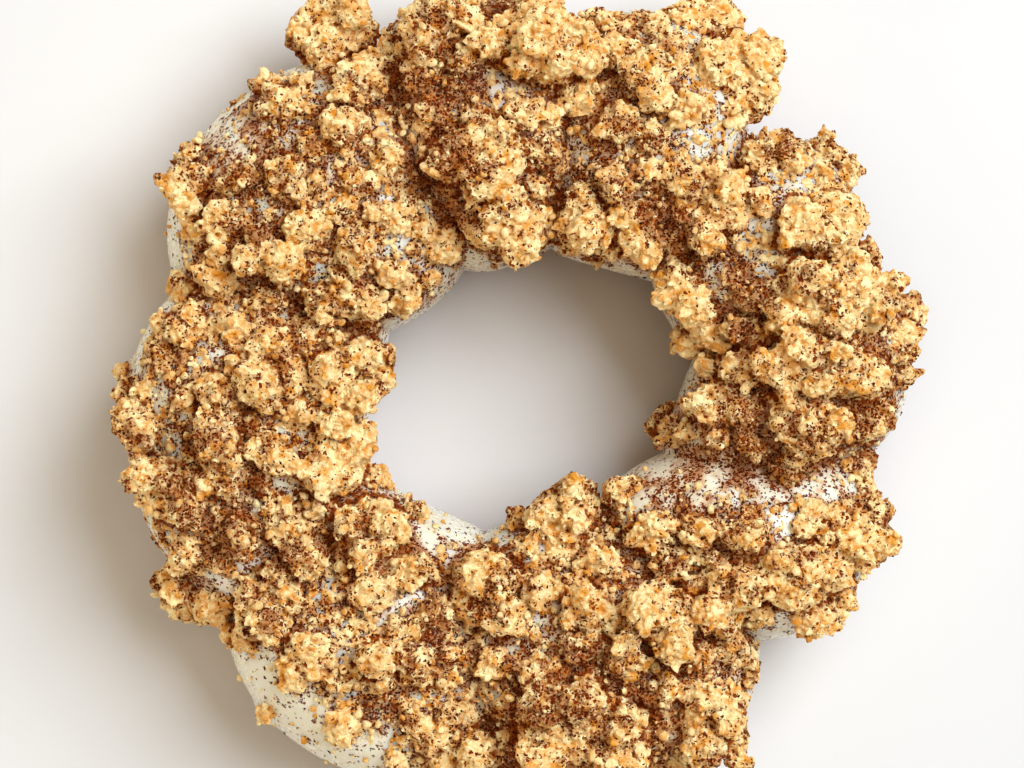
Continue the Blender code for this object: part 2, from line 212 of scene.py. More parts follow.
def add(tree, kind, inputs=(), **settings):
    """A node in a tree, with its settings, and its inputs set or linked."""
    node = tree.nodes.new(kind)
    for name, value in settings.items():
        setattr(node, name, value)
    for name, value in dict(inputs).items():
        if isinstance(value, bpy.types.NodeSocket):
            tree.links.new(value, node.inputs[name])
        else:
            node.inputs[name].default_value = value
    return node


def linear(colour):
    """A colour written as sRGB hex, turned to the linear values that a shader takes."""
    parts = [int(colour[place:place + 2], 16) / 255 for place in (1, 3, 5)]
    return (*(p / 12.92 if p <= 0.04045 else ((p + 0.055) / 1.055) ** 2.4 for p in parts), 1.0)


def new_finish(name):
    """A new material, its node tree, its shader, and the place of the point it colours."""
    finish = bpy.data.materials.new(name)
    finish.use_nodes = True
    tree = finish.node_tree
    place = add(tree, "ShaderNodeTexCoord").outputs["Object"]
    return finish, tree, tree.nodes["Principled BSDF"], place


# Fried dough: a thin, slightly oily brown crust. It gives the eye a warm satin brown that
# is mottled by blisters, with a wavering straw-coloured band round the middle.
CRUST = "#b8793a"
CRUST_DARK = "#84481b"
CRUST_BAND = "#e3bd80"
BAND_HALF_HEIGHT = 2.6 * MM
BAND_FADE = (0.2, 1.6)         # from where to where the band fades out, in half heights
MOTTLE_PITCH = 5.4 * MM
MOTTLE_SPAN = (0.65, 1.05)     # the darkest and the palest level of the mottling
BLISTER_PITCH = 1.8 * MM
BLISTER_DEPTH = 0.12 * MM
BLISTERS_TO_MOTTLE = 0.7       # how much the blisters add to the mottling
BLISTERS_TO_GRAIN = 3.0        # how much deeper they are than the grain
CRUST_GRAIN = 0.35 * MM
CRUST_ROUGHNESS = (0.38, 0.62)

crust, tree, shader, place = new_finish("fried_dough_crust")
height = add(tree, "ShaderNodeSeparateXYZ", {"Vector": place}).outputs["Z"]
mottle = add(tree, "ShaderNodeTexNoise", {"Vector": place, "Scale": 1 / MOTTLE_PITCH, "Detail": 4.0})
blisters = add(tree, "ShaderNodeTexNoise", {"Vector": place, "Scale": 1 / BLISTER_PITCH, "Detail": 3.0})
grain = add(tree, "ShaderNodeTexNoise", {"Vector": place, "Scale": 1 / CRUST_GRAIN, "Detail": 2.0})
uneven = add(
    tree, "ShaderNodeMath",
    {0: blisters.outputs["Fac"], 1: BLISTERS_TO_MOTTLE, 2: mottle.outputs["Fac"]},
    operation="MULTIPLY_ADD",
)
uneven = add(
    tree, "ShaderNodeMapRange",
    {"Value": uneven.outputs["Value"], "From Min": MOTTLE_SPAN[0], "From Max": MOTTLE_SPAN[1]},
)
brown = add(
    tree, "ShaderNodeMix",
    {0: uneven.outputs["Result"], 6: linear(CRUST_DARK), 7: linear(CRUST)}, data_type="RGBA",
)
wander = add(
    tree, "ShaderNodeMapRange",
    {"Value": mottle.outputs["Fac"],
     "To Min": EQUATOR - BAND_HALF_HEIGHT, "To Max": EQUATOR + BAND_HALF_HEIGHT},
)
off_band = add(tree, "ShaderNodeMath", {0: height, 1: wander.outputs["Result"]}, operation="SUBTRACT")
off_band = add(tree, "ShaderNodeMath", {0: off_band.outputs["Value"]}, operation="ABSOLUTE")
in_band = add(
    tree, "ShaderNodeMapRange",
    {"Value": off_band.outputs["Value"], "From Min": BAND_FADE[0] * BAND_HALF_HEIGHT,
     "From Max": BAND_FADE[1] * BAND_HALF_HEIGHT, "To Min": 1.0, "To Max": 0.0},
    interpolation_type="SMOOTHSTEP",
)
coloured = add(
    tree, "ShaderNodeMix",
    {0: in_band.outputs["Result"], 6: brown.outputs[2], 7: linear(CRUST_BAND)}, data_type="RGBA",
)
relief = add(
    tree, "ShaderNodeMath",
    {0: blisters.outputs["Fac"], 1: BLISTERS_TO_GRAIN, 2: grain.outputs["Fac"]},
    operation="MULTIPLY_ADD",
)
bump = add(
    tree, "ShaderNodeBump",
    {"Height": relief.outputs["Value"], "Strength": 0.9, "Distance": BLISTER_DEPTH},
)
rough = add(
    tree, "ShaderNodeMapRange",
    {"Value": blisters.outputs["Fac"], "To Min": CRUST_ROUGHNESS[0], "To Max": CRUST_ROUGHNESS[1]},
)
tree.links.new(coloured.outputs[2], shader.inputs["Base Color"])
tree.links.new(rough.outputs["Result"], shader.inputs["Roughness"])
tree.links.new(bump.outputs["Normal"], shader.inputs["Normal"])
shader.inputs["IOR"].default_value = 1.46
shader.inputs["Subsurface Weight"].default_value = 0.15
shader.inputs["Subsurface Radius"].default_value = (1.0, 0.5, 0.25)
shader.inputs["Subsurface Scale"].default_value = 0.6 * MM
dough.data.materials.append(crust)

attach(dough, "root")
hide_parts("dough_ring")


# The icing. Icing sugar beaten with a little milk, into which the upper half was dipped,
# so that it set as a smooth skin with a round edge that runs lower in places. It is a
# closed shell on the dough, thinned to a lip at both rims, with two beads on its flank.

GAP = 0.3 * MM
ICING = 1.1 * MM
ICING_CUTS = 34                # cuts across each lobe
ICING_POINTS = 84              # points over the top, from rim to rim
ICING_BACK_POINTS = 28         # and back again, against the dough
OUTER_RIM = 8.4 * MM           # heights of its two rims
INNER_RIM = 9.2 * MM
RIM_WAVE = 1.2 * MM            # how far the rims wander up and down
RIM_WAVES = ((5, 1.0), (11, 0.6), (29, 0.22))  # waves round the ring, and the share of each
OUTER_RIM_START = 0.4          # where round the ring each rim's waves start (radians)
INNER_RIM_START = 2.0
BARE_BEARING = 40.0            # where the outer rim stops short, and dough shows
BARE_SPREAD = 5.0              # over how many degrees
BARE_LIFT = 8.5 * MM           # and how much higher it is there
LIP = 1.5 * MM                 # how far from its edge the icing thins
BOND = 0.05 * MM               # how far the shell's inside stands off the dough
SWELLS = ((0.22 * MM, 7.0 * MM), (0.10 * MM, 3.0 * MM))     # depth and pitch
SWELL_KEY = 5
DRIPS = ((176.6, 45.9), (231.4, 46.6))                      # bearing, radius (mm)
DRIP_SWELL = 1.5 * MM
DRIP_SPREAD = 1.5 * MM


def rim_turn(around, rim, start, lift):
    """The angle on the outer side at which the ring's skin passes a rim's height."""
    cut = cut_sizes(around, GAP + ICING)
    here = np.radians(cut["bearing"])
    waves = sum(share * np.sin(count * here + count * start) for count, share in RIM_WAVES)
    away = (cut["bearing"] - BARE_BEARING) / BARE_SPREAD
    height = rim + RIM_WAVE * waves + lift * np.exp(-away * away) - EQUATOR
    reach = np.where(height > 0, cut["rise"], cut["drop"])
    share = np.minimum(np.abs(height) / reach, 1) ** (SQUARENESS / 2)
    return np.copysign(np.arcsin(share), height)


around = np.arange(len(LOBES) * ICING_CUTS)[:, None] / ICING_CUTS
first = rim_turn(around, OUTER_RIM, OUTER_RIM_START, BARE_LIFT)
last = np.pi - rim_turn(around, INNER_RIM, INNER_RIM_START, 0)
turns = first + (last - first) * np.linspace(0, 1, ICING_POINTS)
crest = ring_points(around, turns, GAP + ICING)
steps = np.linalg.norm(np.diff(crest, axis=1), axis=2)
reached = np.concatenate((np.zeros_like(first), np.cumsum(steps, axis=1)), axis=1)
from_rim = np.minimum(reached, reached[:, -1:] - reached)
lip = np.sqrt(1 - (1 - np.minimum(from_rim / LIP, 1)) ** 2)
thick = GAP + ICING - BOND
thick = thick - sum(
    deep * (1 + lattice_noise(crest, pitch, SWELL_KEY)) / 2 for deep, pitch in SWELLS
)
for bearing, radius in DRIPS:
    here = math.radians(bearing)
    bead = np.array((radius * math.cos(here) * MM, radius * math.sin(here) * MM, EQUATOR))
    away = np.linalg.norm(crest - bead, axis=2)
    thick = thick + DRIP_SWELL * np.exp(-((away / DRIP_SPREAD) ** 2))
over = ring_points(around, turns, BOND + thick * lip)
turns = last + (first - last) * np.linspace(0, 1, ICING_BACK_POINTS + 2)[1:-1]
back = ring_points(around, turns, BOND)
shell = np.concatenate((over, back), axis=1) + SHIFT
rims = np.concatenate((over[:, 0], over[:, -1])) + SHIFT
icing_points = shell.reshape(-1, 3)
icing_faces = grid_faces(*shell.shape[:2])
icing = make_piece("sugar_icing", icing_points, icing_faces)

# Ground cinnamon where it lies on something else: a film of powder, and grains of bark. Real
# grains are 0.1 to 0.5 mm, and these are drawn a little coarser so that they show. It gives
# the eye a reddish brown bloom with ragged specks. Each piece's dust says how thick it lies,
# and it also carries painted shade, laid into hollows and crevices as more dust.
CINNAMON_FILM = "#954608"
FILM_GRAIN = 0.24 * MM
FILM_RANGE = 0.6               # how much more dust a full film takes than a first trace
SPECKS = (                     # colour, pitch, share of the cells at full dust, size
    ("#742e08", 0.72 * MM, 0.38, 1.30),
    ("#7a2f07", 0.46 * MM, 0.62, 1.35),
    ("#341003", 0.34 * MM, 0.48, 1.20),
)
SPECK_EDGE = -0.2              # what makes their outlines follow the powder


def cinnamon_over(tree, place, under, start, cover):
    """Cinnamon laid over a colour: a film of fine dust, and ragged red and dark grains."""
    # The dust attribute holds painted shade too, so the film and grains also paint the hollows
    dust_and_shade = add(tree, "ShaderNodeAttribute", attribute_name="dust_and_shade").outputs["Fac"]
    powder = add(tree, "ShaderNodeTexNoise", {"Vector": place, "Scale": 1 / FILM_GRAIN, "Detail": 2.0})
    powder = powder.outputs["Fac"]
    film = add(tree, "ShaderNodeMath", {0: dust_and_shade, 1: powder}, operation="ADD")
    film = add(
        tree, "ShaderNodeMapRange",
        {"Value": film.outputs["Value"], "From Min": start, "From Max": start + FILM_RANGE,
         "To Max": cover},
    )
    colour = add(
        tree, "ShaderNodeMix",
        {0: film.outputs["Result"], 6: under, 7: linear(CINNAMON_FILM)}, data_type="RGBA",
    ).outputs[2]
    for hue, pitch, share, size in SPECKS:
        cells = add(tree, "ShaderNodeTexVoronoi", {"Vector": place, "Scale": 1 / pitch})
        chance = add(tree, "ShaderNodeSeparateColor", {"Color": cells.outputs["Color"]}).outputs["Red"]
        wanted = add(tree, "ShaderNodeMath", {0: dust_and_shade, 1: share}, operation="MULTIPLY")
        fell = add(tree, "ShaderNodeMath", {0: chance, 1: wanted.outputs["Value"]}, operation="LESS_THAN")
        reach = add(tree, "ShaderNodeMath", {0: powder, 1: size, 2: SPECK_EDGE}, operation="MULTIPLY_ADD")
        near = add(
            tree, "ShaderNodeMath",
            {0: cells.outputs["Distance"], 1: reach.outputs["Value"]}, operation="LESS_THAN",
        )
        speck = add(
            tree, "ShaderNodeMath",
            {0: fell.outputs["Value"], 1: near.outputs["Value"]}, operation="MULTIPLY",
        )
        colour = add(
            tree, "ShaderNodeMix",
            {0: speck.outputs["Value"], 6: colour, 7: linear(hue)}, data_type="RGBA",
        ).outputs[2]
    return colour


# Set sugar icing: dense, cream white and glossy, with light scattered well into it. A few
# crystals and the dust break the gloss.
ICING_WHITE = "#fbf3e4"
ICING_CREAM = "#f3e4c6"
ICING_STAIN_AND_WARM_SHADE = "#bd813e"      # where cinnamon sugar melted into it, and painted warm shade
CLOUD_PITCH = 6.0 * MM
CLOUD_TO_STAIN_AND_SHADE = 0.5           # how much the clouds add to the stain and its painted shade
STAIN_AND_SHADE_SPAN = (0.50, 1.15)      # where the stain and painted shade start and are fullest
STAIN_AND_SHADE_MOST = 0.75
ICING_FILM = (1.08, 0.8)       # where the film of dust starts, and its fullest cover
SUGAR_PITCH = 0.5 * MM
SUGAR_DEPTH = 0.08 * MM
ICING_ROUGHNESS = 0.12         # where it is bare and smooth
SUGAR_ROUGHENS = 0.25
DUST_ROUGHENS = 0.25
GLOSS_DUST = (0.3, 0.8)        # from where to where the dust dulls the gloss
GLOSS = (0.5, 0.08)            # and what the gloss is at each

sugar, tree, shader, place = new_finish("set_sugar_icing")
dust_and_shade_of = add(tree, "ShaderNodeAttribute", attribute_name="dust_and_shade").outputs["Fac"]
cloud = add(tree, "ShaderNodeTexNoise", {"Vector": place, "Scale": 1 / CLOUD_PITCH, "Detail": 3.0})
fine = add(tree, "ShaderNodeTexNoise", {"Vector": place, "Scale": 1 / SUGAR_PITCH, "Detail": 3.0})
body = add(
    tree, "ShaderNodeMix",
    {0: cloud.outputs["Fac"], 6: linear(ICING_WHITE), 7: linear(ICING_CREAM)}, data_type="RGBA",
)
# A real stain of melted cinnamon sugar that also paints warm shade where the dust lies thick
stain_and_warm_shade = add(
    tree, "ShaderNodeMath",
    {0: cloud.outputs["Fac"], 1: CLOUD_TO_STAIN_AND_SHADE, 2: dust_and_shade_of}, operation="MULTIPLY_ADD",
)
stain_and_warm_shade = add(
    tree, "ShaderNodeMapRange",
    {"Value": stain_and_warm_shade.outputs["Value"], "From Min": STAIN_AND_SHADE_SPAN[0], "From Max": STAIN_AND_SHADE_SPAN[1],
     "To Max": STAIN_AND_SHADE_MOST},
)
body = add(
    tree, "ShaderNodeMix",
    {0: stain_and_warm_shade.outputs["Result"], 6: body.outputs[2], 7: linear(ICING_STAIN_AND_WARM_SHADE)}, data_type="RGBA",
)
coloured = cinnamon_over(tree, place, body.outputs[2], *ICING_FILM)
bump = add(
    tree, "ShaderNodeBump",
    {"Height": fine.outputs["Fac"], "Strength": 0.25, "Distance": SUGAR_DEPTH},
)
rough = add(
    tree, "ShaderNodeMath",
    {0: fine.outputs["Fac"], 1: SUGAR_ROUGHENS, 2: ICING_ROUGHNESS}, operation="MULTIPLY_ADD",
)
rough = add(
    tree, "ShaderNodeMath",
    {0: dust_and_shade_of, 1: DUST_ROUGHENS, 2: rough.outputs["Value"]}, operation="MULTIPLY_ADD",
)
gloss = add(
    tree, "ShaderNodeMapRange",
    {"Value": dust_and_shade_of, "From Min": GLOSS_DUST[0], "From Max": GLOSS_DUST[1],
     "To Min": GLOSS[0], "To Max": GLOSS[1]},
)
tree.links.new(coloured, shader.inputs["Base Color"])
tree.links.new(bump.outputs["Normal"], shader.inputs["Normal"])
tree.links.new(rough.outputs["Value"], shader.inputs["Roughness"])
tree.links.new(gloss.outputs["Result"], shader.inputs["Specular IOR Level"])
shader.inputs["IOR"].default_value = 1.5
shader.inputs["Subsurface Weight"].default_value = 0.9
shader.inputs["Subsurface Radius"].default_value = (1.0, 0.8, 0.5)
shader.inputs["Subsurface Scale"].default_value = 2.4 * MM
icing.data.materials.append(sugar)

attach(icing, "root")
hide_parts("icing_crumble")


# The crumble. Butter, flour and sugar rubbed together and baked, then heaped on the icing
# while it was wet: clumps of rounded grains, each grain its own shade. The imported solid
# gives the clumps. Grains are set all over it, and all is fused and cut in four quarters.

CORE_SINK = 0.50 * MM          # how far the solid shrinks, to leave crevices between grains
PROUD = 0.3 * MM               # crumble is what stands off the icing by more than this
FLUSH = -0.35 * MM             # and what lies under it by more than this is the hidden side
GRAIN_KINDS = (                # smallest and largest radius, fineness, spacing, depth in radii
    (0.29 * MM, 0.62 * MM, 2, 0.96 * MM, 0.50),
    (0.16 * MM, 0.33 * MM, 1, 0.50 * MM, 0.25),
)
GRAIN_SHAPES = 12              # differently shaped grains of each kind
GRAIN_STRETCH = 0.3
GRAIN_LUMPS = 0.5              # how lumpy each is
LUMP_PITCH = 1.1               # the pitch of its lumps, in radii
LUMP_STEP = 7.3                # how far apart in the noise two grains' lumps are read
GRAIN_DEEPER = 0.9             # how much deeper some of them sit, in radii
MOSTLY_SMALL = 2               # the power that makes most of them small
VOXEL = 0.19 * MM
GRIT = ((0.26 * MM, 0.8 * MM), (0.28 * MM, 0.40 * MM))      # depth and pitch
GRIT_KEY = 9
QUARTER_CUTS = (-16.0, 80.0, 158.0, 260.0)                 # bearings of the cuts between quarters
QUARTER_FACES = 155000
COVER = 1.15                   # how closely low crumbs cover the icing between the clumps
COVER_RISE = 0.75              # how much less deep they sit, in radii
COVER_TILT = 0.1               # the upward part of a normal at which they start to lie on it
COVER_TILT_RANGE = 0.5         # and how much more of it brings them to full cover
PATCH_EDGE = 6                 # how sharply a patch ends
# Where the icing is left bare: x, y, length, width (mm), turn (degrees), share
BARE_PATCHES = (
    (-27.0, -38.0, 34.0, 11.0, -38, 1.0),
    (-32.6, 29.8, 13.0, 9.0, 45, 0.8),
    (-39.8, 19.5, 10.0, 3.0, 80, 1.0),
    (-43.0, 9.1, 9.0, 4.0, 55, 1.0),
    (-6.7, 13.7, 9.0, 6.0, 40, 1.0),
    (-14.0, 7.7, 8.0, 4.0, 50, 1.0),
    (-17.2, -5.1, 9.0, 3.0, -70, 1.0),
    (-8.1, -15.9, 15.0, 7.0, -5, 1.0),
    (26.7, -8.8, 28.0, 8.0, -12, 1.0),
    (15.7, -9.9, 11.0, 8.0, 0, 1.0),
    (16.3, 7.7, 19.0, 5.0, -60, 1.0),
    (43.6, -4.0, 10.0, 5.0, 80, 1.0),
    (31.4, -27.8, 7.0, 6.0, 0, 1.0),
    (-22.1, 26.9, 3.5, 2.4, 20, 1.0),
    (-19.8, 19.8, 4.5, 2.8, 70, 1.0),
    (-13.4, -24.3, 4.5, 3.2, 40, 1.0),
    (10.7, -33.0, 3.5, 2.6, 0, 1.0),
)
CRUMBLE_SEED = 4
UPRIGHT = 0.9                  # the upward part of an axis that counts as upright
WEDGE_REACH = 80 * MM
RIM_REACH = 2.4 * MM           # how near the icing's rims crumble that hardly stands off
RIM_PROUD = 1.0 * MM           # is tucked into the icing, and how far off is hardly
RIM_TUCK = 0.15 * MM
HIDDEN_DEPTH = 1.0 * MM        # how deep under the icing's top the hidden side lies
HIDDEN_MERGED = 0.93           # share of the hidden side's faces that are merged
HIDDEN_FIRST = 1000.0          # how much sooner than the rest
MAP_HALF = 50 * MM             # half the side of the maps of height
MAP_PITCH = 0.25 * MM
ICING_MAP_PITCH = 0.5 * MM
EMPTY = -1.0
HOLLOWS = ((0.45 * MM, 1.0 * MM, 0.5), (1.6 * MM, 2.2 * MM, 0.5))  # reach, depth, share
DUST_MEAN = 0.33
DUST_WAVES = ((0.40, 5.0 * MM), (0.50, 1.8 * MM), (0.60, 0.8 * MM))  # share and pitch
DUST_KEY = 8
DUST_AND_SHADE_IN_HOLLOWS = 1.05         # how much more dust a pit gathers, which also paints shade into it
DUST_AND_SHADE_OFF_PEAKS = 0.42          # and how much less stays on a peak, which paints it lighter
DUST_BELOW = 0.12              # what reaches places that something else covers
SEEN_DEPTH = 0.6 * MM          # how deep under the top of the heap still lies open
# Patches with more cinnamon or less, some of them painted light and shade as marked below:
# x, y, length, width (mm), turn (degrees), share
DUST_SHADE_AND_LIGHT_PATCHES = (
    (6.0, -36.7, 16.0, 12.0, 0, 0.35),
    (-38.7, 24.5, 8.0, 8.0, 0, 0.30),
    (-28.4, 39.3, 5.0, 4.0, 0, 0.40),
    (-32.2, -16.2, 7.0, 6.0, 0, 0.35),
    (27.0, -5.2, 22.0, 4.0, -12, 0.25),
    (26.7, -9.2, 28.0, 9.0, -8, 0.28),
    # Two clean spots where bare icing shows white, standing partly for painted highlights
    (24.0, -11.2, 3.5, 2.5, -20, -0.50),
    (34.0, -12.6, 4.0, 2.5, 10, -0.50),
    (43.6, -4.5, 6.0, 12.0, 0, 0.30),
    (-32.3, 30.1, 12.0, 10.0, 38, 0.25),
    (-9.9, 27.4, 9.0, 18.0, 0, 0.40),
    (9.3, 26.9, 11.0, 9.0, 0, 0.30),
    (2.6, 39.1, 15.0, 11.0, 0, -0.30),
    # Less dust here lightens the crumbs on the window side: painted light
    (24.9, 36.2, 10.0, 12.0, 0, -0.30),
    (-28.0, -38.0, 32.0, 12.0, -40, -0.80),
    (-8.1, -15.9, 16.0, 7.0, -5, -0.10),
    (-17.2, -5.1, 9.0, 3.5, -70, -0.50),
    (16.3, 7.7, 20.0, 6.0, -60, -0.70),
    (-40.5, 19.5, 10.0, 3.5, 80, -0.70),
    (-43.5, 9.1, 10.0, 4.0, 55, -0.70),
    (-14.0, 7.7, 8.0, 4.0, 50, -0.35),
    # The next sixteen darken the crevices between clumps, where shade falls: painted shade
    (-37.9, -5.8, 2.5, 3.0, 0, 0.90),
    (-38.8, -12.0, 3.0, 6.0, 10, 0.90),
    (-38.4, -22.6, 3.0, 3.5, 0, 0.90),
    (-21.5, -17.0, 5.0, 3.0, -60, 0.90),
    (-26.8, -19.1, 3.0, 3.0, 0, 0.80),
    (-9.9, -26.0, 2.6, 6.5, 5, 1.00),
    (-1.0, -21.5, 5.0, 2.6, -30, 1.00),
    (8.2, -30.1, 4.0, 2.6, -30, 0.90),
    (0.0, -36.5, 3.0, 3.0, 0, 0.80),
    (17.4, 19.9, 6.0, 3.6, -50, 0.90),
    (25.6, 12.9, 6.0, 4.0, -60, 1.00),
    (24.5, 7.7, 6.0, 3.0, -80, 1.00),
    (28.0, 10.0, 4.0, 3.0, 0, 0.90),
    (-10.5, 34.4, 9.0, 3.5, -10, 0.90),
    (-8.1, 26.9, 3.0, 6.0, 0, 0.90),
    (-7.6, 19.9, 3.0, 3.0, 0, 0.80),
    (29.0, -3.0, 10.0, 3.0, -15, 0.20),
    # Less dust here lightens the brightly lit crumbs at the upper right: painted light
    (37.0, 22.5, 15.0, 16.0, 0, -0.30),
)
cad_low, cad_high = (np.array(corner) for corner in cad_box)


def read_solid(mesh):
    """A mesh's points, joined where they meet, and its triangles."""
    places = np.empty(len(mesh.vertices) * 3)
    mesh.vertices.foreach_get("co", places)
    mesh.calc_loop_triangles()
    corners = np.empty(len(mesh.loop_triangles) * 3, dtype=np.int64)
    mesh.loop_triangles.foreach_get("vertices", corners)
    points, index = np.unique(places.reshape(-1, 3).round(7), axis=0, return_inverse=True)
    corners = index.ravel()[corners].reshape(-1, 3)
    return points, corners[(corners != np.roll(corners, 1, axis=1)).all(axis=1)]


def face_frames(points, triangles):
    """The middle, unit normal and area of each triangle."""
    a, b, c = (points[triangles[:, corner]] for corner in range(3))
    normal = np.cross(b - a, c - a)
    size = np.linalg.norm(normal, axis=1)
    return (a + b + c) / 3, normal / np.maximum(size, 1e-15)[:, None], size / 2


def heights_over(tree, points):
    """How far points stand off a surface, and less than nothing under it."""
    found = [tree.find_nearest(point) for point in points.tolist()]
    near = np.array([place for place, _, _, _ in found])
    normal = np.array([facing for _, facing, _, _ in found])
    return ((points - near) * normal).sum(axis=1)


def spread_over(points, triangles, weights, count, draw):
    """Places spread over triangles by their weights, and the triangle under each."""
    face = draw.choice(len(triangles), count, p=weights / weights.sum())
    one, two = draw.random((2, count))
    flip = one + two > 1
    one, two = np.where(flip, 1 - one, one), np.where(flip, 1 - two, two)
    a, b, c = (points[triangles[face, corner]] for corner in range(3))
    return a + (b - a) * one[:, None] + (c - a) * two[:, None], face


def turned_about(axis, draw):
    """Rotations that carry +Z to each axis, after a random turn about +Z."""
    spin = draw.uniform(0, 2 * np.pi, len(axis))
    aside = np.where(np.abs(axis[:, 2:]) < UPRIGHT, (0, 0, 1), (1, 0, 0))
    east = np.cross(aside, axis)
    east /= np.linalg.norm(east, axis=1, keepdims=True)
    north = np.cross(axis, east)
    cos, sin = np.cos(spin)[:, None], np.sin(spin)[:, None]
    return np.stack((east * cos + north * sin, north * cos - east * sin, axis), axis=-1)


def ball(levels, key, lumps):
    """The points and triangles of a lumpy ball, about one unit in radius."""
    made = bpy.data.meshes.new("ball")
    shape = bmesh.new()
    bmesh.ops.create_icosphere(shape, subdivisions=levels, radius=1)
    shape.to_mesh(made)
    shape.free()
    points, triangles = read_solid(made)
    bpy.data.meshes.remove(made)
    lumpy = lattice_noise(points + LUMP_STEP * key, LUMP_PITCH, key)
    return points * (1 + lumps * lumpy)[:, None], triangles


def scatter(shapes, places, rotations, sizes):
    """Copies of some shapes in turn, each turned, sized along its own axes and placed."""
    points, triangles, start = [], [], 0
    for kind, (shape_points, shape_triangles) in enumerate(shapes):
        mine = slice(kind, None, len(shapes))
        copies = shape_points[None] * sizes[mine, None, :]
        copies = np.einsum("nij,nkj->nki", rotations[mine], copies) + places[mine, None, :]
        starts = start + np.arange(len(copies)) * len(shape_points)
        points.append(copies.reshape(-1, 3))
        triangles.append((shape_triangles[None] + starts[:, None, None]).reshape(-1, 3))
        start += copies.shape[0] * copies.shape[1]
    return np.concatenate(points), np.concatenate(triangles)


def bearing_of(points):
    """The bearing of each point, in degrees from the first cut between quarters."""
    bearing = np.degrees(np.arctan2(points[:, 1], points[:, 0]))
    return (bearing - QUARTER_CUTS[0]) % 360


def wedge_between(start, end):
    """A tall wedge of space between two bearings."""
    corners = [(0.0, 0.0)]
    for bearing in (start, (start + end) / 2, end):
        here = math.radians(bearing)
        corners.append((WEDGE_REACH * math.cos(here), WEDGE_REACH * math.sin(here)))
    points = [(*corner, level) for level in (-WEDGE_REACH, WEDGE_REACH) for corner in corners]
    sides = [(side, (side + 1) % 4, (side + 1) % 4 + 4, side + 4) for side in range(4)]
    return make_piece("wedge", np.array(points), np.array([(3, 2, 1, 0), *sides, (4, 5, 6, 7)]))


def keep_result(piece):
    """Make what a piece's modifiers give its own mesh."""
    bpy.context.view_layer.update()
    result = piece.evaluated_get(bpy.context.evaluated_depsgraph_get())
    mesh = bpy.data.meshes.new_from_object(result)
    piece.modifiers.clear()
    piece.data = mesh


def read_points(mesh):
    """The places of a mesh's points, and their normals."""
    places = np.empty(len(mesh.vertices) * 3)
    mesh.vertices.foreach_get("co", places)
    facing = np.empty(len(mesh.vertices) * 3)
    mesh.vertex_normals.foreach_get("vector", facing)
    return places.reshape(-1, 3), facing.reshape(-1, 3)


def map_cells(points, levels):
    """The row and column of each point on a square map centred on the Z axis."""
    pitch = 2 * MAP_HALF / (len(levels) - 1)
    index = np.clip(((points[:, :2] + MAP_HALF) / pitch).round().astype(int), 0, len(levels) - 1)
    return index[:, 0], index[:, 1]


def levels_seen(tree, pitch):
    """A map of a surface's height as seen from above, and of EMPTY where it isn't."""
    spots = np.arange(-MAP_HALF, MAP_HALF + pitch / 2, pitch)
    levels = np.full((len(spots), len(spots)), EMPTY)
    for row, x in enumerate(spots):
        for column, y in enumerate(spots):
            place = tree.ray_cast((x, y, MAP_HALF), (0, 0, -1))[0]
            if place is not None:
                levels[row, column] = place.z
    return levels


def blurred(levels, reach):
    """A map's mean around each cell but for what is EMPTY, and how far that encloses it."""
    filled = (levels > EMPTY).astype(float)
    cells = int(reach / (2 * MAP_HALF) * (len(levels) - 1))
    sums = []
    for grid in (levels * filled, filled):
        for axis in (0, 1, 0, 1):
            padded = np.insert(np.cumsum(grid, axis=axis), 0, 0, axis=axis)
            low = np.clip(np.arange(len(levels)) - cells, 0, None)
            high = np.clip(np.arange(len(levels)) + cells + 1, None, len(levels))
            grid = np.take(padded, high, axis=axis) - np.take(padded, low, axis=axis)
        sums.append(grid)
    enclosed = np.clip(2 * sums[1] / (2 * cells + 1) ** 4 - 1, 0, 1)
    return sums[0] / np.maximum(sums[1], 1), enclosed


def patches_over(points, patches):
    """The sum of some oval patches at each point, each fading out at its edge."""
    total = np.zeros(len(points))
    for x, y, length, width, turn, share in patches:
        here = math.radians(turn)
        east, north = points[:, 0] - x * MM, points[:, 1] - y * MM
        along = east * math.cos(here) + north * math.sin(here)
        beside = north * math.cos(here) - east * math.sin(here)
        away = np.hypot(2 * along / (length * MM), 2 * beside / (width * MM))
        total += share / (1 + away ** PATCH_EDGE)
    return total


def dust_and_shade_over(points):
    """How thickly cinnamon fell at each point, from none at 0 to a full cover at 1, with
    painted shade in crevices and painted light on lit crumbs laid in as more or less of it.
    """
    waves = sum(share * lattice_noise(points, pitch, DUST_KEY) for share, pitch in DUST_WAVES)
    return np.clip(DUST_MEAN + waves + patches_over(points, DUST_SHADE_AND_LIGHT_PATCHES), 0, 1)


def give(piece, name, values):
    """Give each point of a piece a value, which its material reads by name."""
    attribute = piece.data.attributes.new(name, "FLOAT", "POINT")
    attribute.data.foreach_set("value", values.astype(np.float32))


